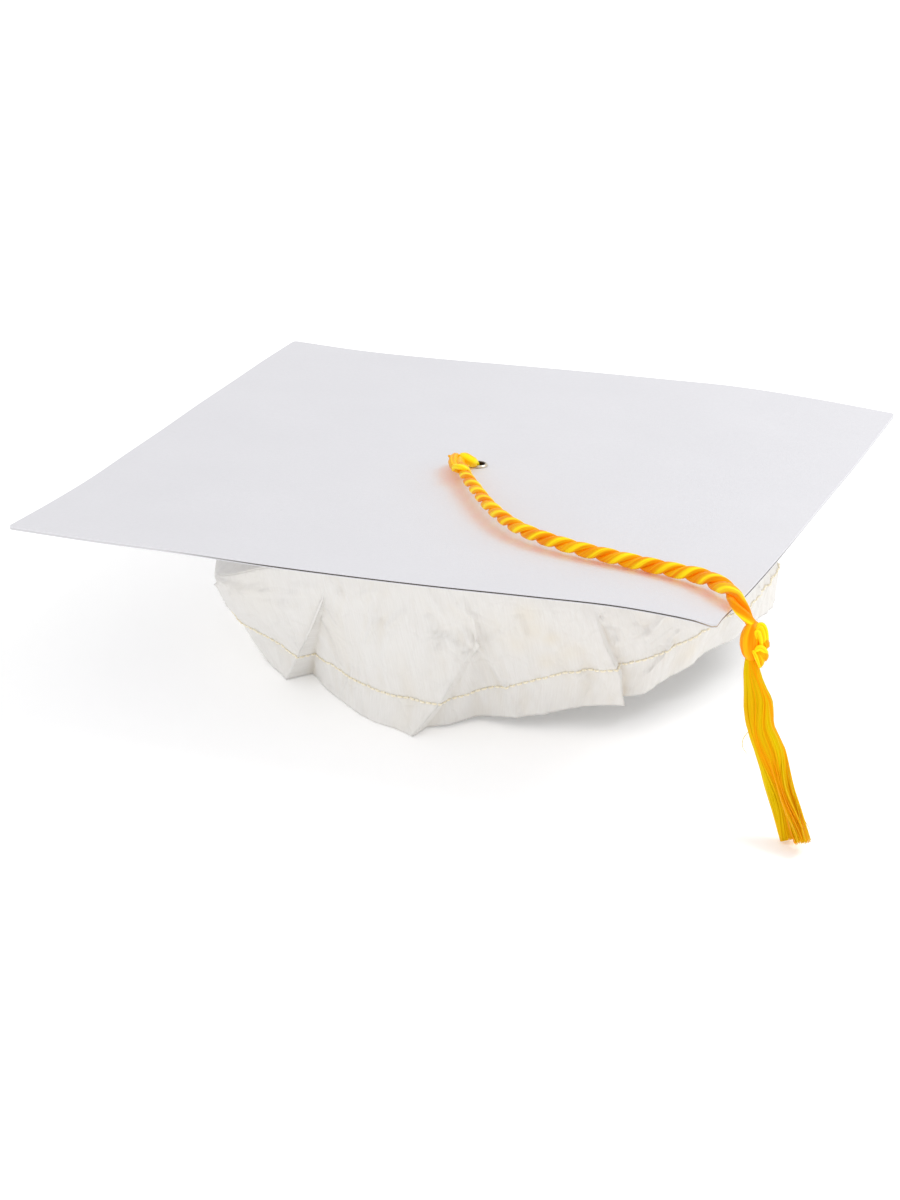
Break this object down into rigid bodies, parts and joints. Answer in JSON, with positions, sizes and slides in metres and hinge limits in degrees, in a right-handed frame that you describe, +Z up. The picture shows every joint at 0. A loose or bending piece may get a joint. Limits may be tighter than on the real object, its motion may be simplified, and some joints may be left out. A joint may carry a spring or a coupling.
{
  "type": "graduation cap",
  "caption": "Square-board graduation cap with an eyeleted cord and tassel, on a gathered cloth skullcap with an elastic rim.",
  "frame": {"origin": "on the plane the rim stands on, straight below the eyelet at the board's centre", "axes": "+Z up, out of the board's top; X and Y along the board's sides; the tassel hangs near the corner at +X -Y"},
  "size_m": [0.2734, 0.25, 0.0726],
  "materials": {
    "white_paper": "matt white, faint linen emboss",
    "grey_board": "raw grey chipboard, cut edge",
    "eyelet_metal": "polished thin sheet",
    "crown_cloth": "thin matt nonwoven, off-white",
    "elastic": "knitted elastic web",
    "thread": "cream cotton thread",
    "cord_satin": "shiny golden yellow rayon"
  },
  "bodies": {
    "cap": {"board_top_paper": "white_paper", "board_core": "grey_board", "board_bottom_paper": "white_paper", "eyelet": "eyelet_metal", "eyelet_washer": "eyelet_metal", "crown_top_panel": "crown_cloth", "crown_side_band": "crown_cloth", "elastic_band": "elastic", "hem_thread": "thread", "shoulder_seam_thread": "thread", "back_seam_thread": "thread"},
    "cord": {"stopper_knot": "cord_satin", "cord_neck": "cord_satin", "top_knot": "cord_satin", "tassel_cord": "cord_satin"},
    "tassel": {"tassel_cord_drop": "cord_satin", "tassel_knot": "cord_satin", "tassel_skirt": "cord_satin"}
  },
  "joints": [
    {"name": "tassel_swivel", "type": "hinge", "parent": "cap", "child": "cord", "pos_m": [0, 0, 0.065], "axis": [0, 0, 1], "range_deg": [0, 78]},
    {"name": "tassel_swing", "type": "hinge", "parent": "cord", "child": "tassel", "pos_m": [0.1228, -0.1049, 0.0672], "axis": [0, -1, 0], "range_deg": [-18, 60]}
  ]
}
